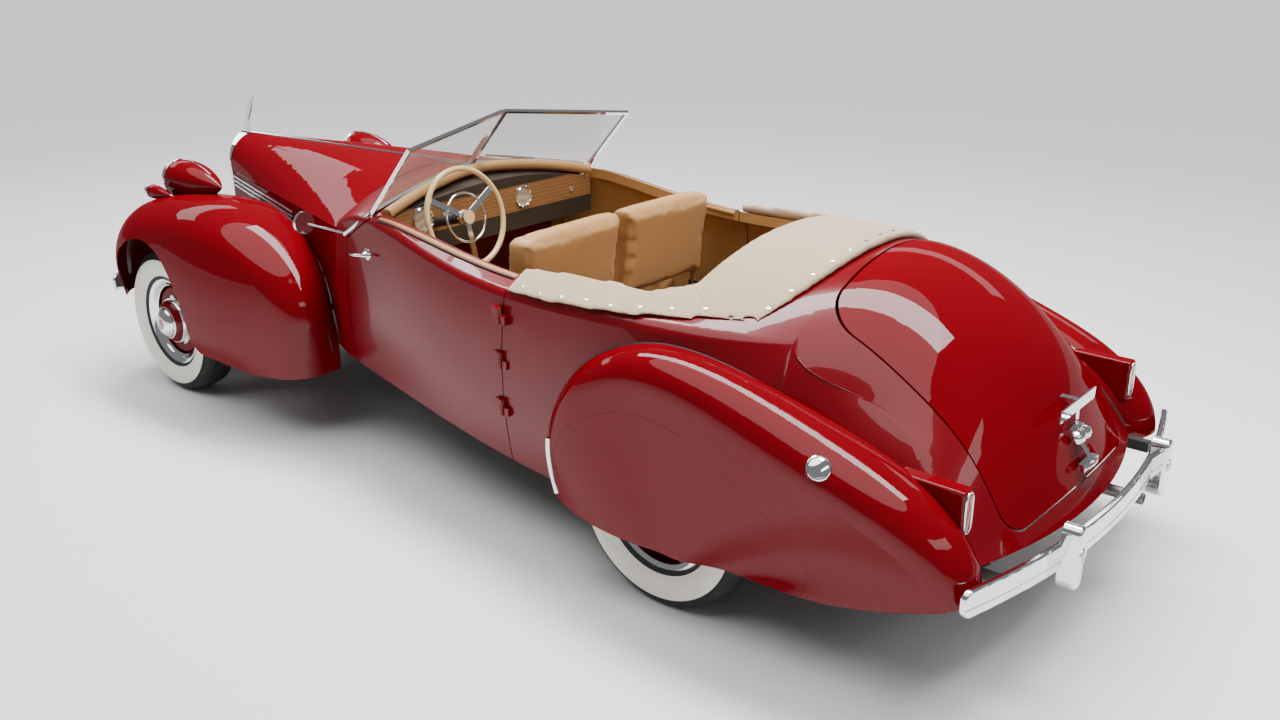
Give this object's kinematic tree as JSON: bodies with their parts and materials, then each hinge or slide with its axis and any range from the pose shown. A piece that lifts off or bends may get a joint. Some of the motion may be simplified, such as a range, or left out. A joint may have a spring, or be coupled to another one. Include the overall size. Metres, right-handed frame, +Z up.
{
  "type": "classic two-door convertible car",
  "caption": "Low two-door convertible with pontoon fenders, V windshield, folded top under a padded cover, slotted upright grille, chrome bumpers and whitewall tyres.",
  "frame": {"origin": "on the ground under the middle of the car's length", "axes": "+Z up, -Y towards the car's front, +X towards its left side, the driver's"},
  "size_m": [1.991, 5.386, 1.5121],
  "materials": {
    "body_paint": "gloss",
    "chrome": "polished",
    "wheel_paint": "gloss",
    "tyre": "matte",
    "chassis_black": "satin",
    "engine_iron": "matte",
    "exhaust_steel": "satin",
    "glass": "polished",
    "dash_paint": "satin",
    "wheel_plastic": "gloss",
    "leather": "satin",
    "canvas": "matte"
  },
  "bodies": {
    "body": {"hood_sides": "body_paint", "cowl": "body_paint", "rear_body": "body_paint", "front_fender_left": "body_paint", "front_fender_right": "body_paint", "rear_fender_left": "body_paint", "rear_fender_right": "body_paint", "fender_skirts": "body_paint", "front_lamps": "body_paint", "tail_lamps": "body_paint", "grille": "chrome", "hood_strip": "chrome", "windshield_frame": "chrome", "front_bumper": "chrome", "rear_bumper": "chrome", "fuel_cap": "chrome", "chassis_frame": "chassis_black", "rear_axle": "chassis_black", "front_suspension": "chassis_black", "floor_pan": "chassis_black", "fuel_tank": "chassis_black", "seat_frame": "chassis_black", "steering_column": "chassis_black", "engine_block": "engine_iron", "exhaust": "exhaust_steel", "windshield_glass": "glass", "lamp_lenses": "glass", "dashboard": "dash_paint", "seat_cushion": "leather", "rear_seat": "leather", "boot_cover": "canvas"},
    "door_left": {"door_left": "body_paint"},
    "door_right": {"door_right": "body_paint"},
    "trunk_lid": {"trunk_lid": "body_paint", "plate_bracket": "chrome"},
    "hood_left": {"hood_left": "body_paint"},
    "hood_right": {"hood_right": "body_paint"},
    "seat_back_left": {"seat_back_left": "leather"},
    "seat_back_right": {"seat_back_right": "leather"},
    "knuckle_left": {"knuckle_left": "chassis_black"},
    "knuckle_right": {"knuckle_right": "chassis_black"},
    "steering_wheel": {"steering_wheel": "wheel_plastic"},
    "road_wheel_front_left": {"wheel_front_left": "wheel_paint", "tyre_front_left": "tyre"},
    "road_wheel_front_right": {"wheel_front_right": "wheel_paint", "tyre_front_right": "tyre"},
    "road_wheel_rear_left": {"wheel_rear_left": "wheel_paint", "tyre_rear_left": "tyre"},
    "road_wheel_rear_right": {"wheel_rear_right": "wheel_paint", "tyre_rear_right": "tyre"}
  },
  "joints": [
    {"name": "door_left_hinge", "type": "hinge", "parent": "body", "child": "door_left", "pos_m": [0.838, 0.6215, 0.75], "axis": [0, 0, 1], "range_deg": [0, 68]},
    {"name": "door_right_hinge", "type": "hinge", "parent": "body", "child": "door_right", "pos_m": [-0.838, 0.6215, 0.75], "axis": [0, 0, -1], "range_deg": [0, 68]},
    {"name": "trunk_lid_hinge", "type": "hinge", "parent": "body", "child": "trunk_lid", "pos_m": [0, 1.627, 1.165], "axis": [1, 0, 0], "range_deg": [0, 55]},
    {"name": "hood_left_hinge", "type": "hinge", "parent": "body", "child": "hood_left", "pos_m": [0, -2.228, 1.192], "axis": [0, -0.9997, -0.0262], "range_deg": [0, 60]},
    {"name": "hood_right_hinge", "type": "hinge", "parent": "body", "child": "hood_right", "pos_m": [0, -2.228, 1.192], "axis": [0, 0.9997, 0.0262], "range_deg": [0, 60]},
    {"name": "seat_back_left_tip", "type": "hinge", "parent": "body", "child": "seat_back_left", "pos_m": [0.3, 0.457, 0.69], "axis": [1, 0, 0], "range_deg": [0, 30]},
    {"name": "seat_back_right_tip", "type": "hinge", "parent": "body", "child": "seat_back_right", "pos_m": [-0.3, 0.457, 0.69], "axis": [1, 0, 0], "range_deg": [0, 30]},
    {"name": "steer_left", "type": "hinge", "parent": "body", "child": "knuckle_left", "pos_m": [0.65, -1.843, 0.371], "axis": [0, 0, 1], "range_deg": [-30, 30]},
    {"name": "steer_right", "type": "hinge", "parent": "body", "child": "knuckle_right", "pos_m": [-0.65, -1.843, 0.371], "axis": [0, 0, 1], "range_deg": [-30, 30]},
    {"name": "steering_wheel_turn", "type": "hinge", "parent": "body", "child": "steering_wheel", "pos_m": [0.37, -0.054, 1.108], "axis": [0, 0.9653, 0.2611], "range_deg": [-540, 540]},
    {"name": "spin_front_left", "type": "hinge", "parent": "knuckle_left", "child": "road_wheel_front_left", "pos_m": [0.755, -1.843, 0.371], "axis": [1, 0, 0], "continuous": true},
    {"name": "spin_front_right", "type": "hinge", "parent": "knuckle_right", "child": "road_wheel_front_right", "pos_m": [-0.755, -1.843, 0.371], "axis": [1, 0, 0], "continuous": true},
    {"name": "spin_rear_left", "type": "hinge", "parent": "body", "child": "road_wheel_rear_left", "pos_m": [0.762, 1.383, 0.371], "axis": [1, 0, 0], "continuous": true},
    {"name": "spin_rear_right", "type": "hinge", "parent": "body", "child": "road_wheel_rear_right", "pos_m": [-0.762, 1.383, 0.371], "axis": [1, 0, 0], "continuous": true}
  ],
  "couplings": [
    {"joint": "steer_right", "follows": "steer_left", "ratio": 1},
    {"joint": "steering_wheel_turn", "follows": "steer_left", "ratio": 18}
  ]
}
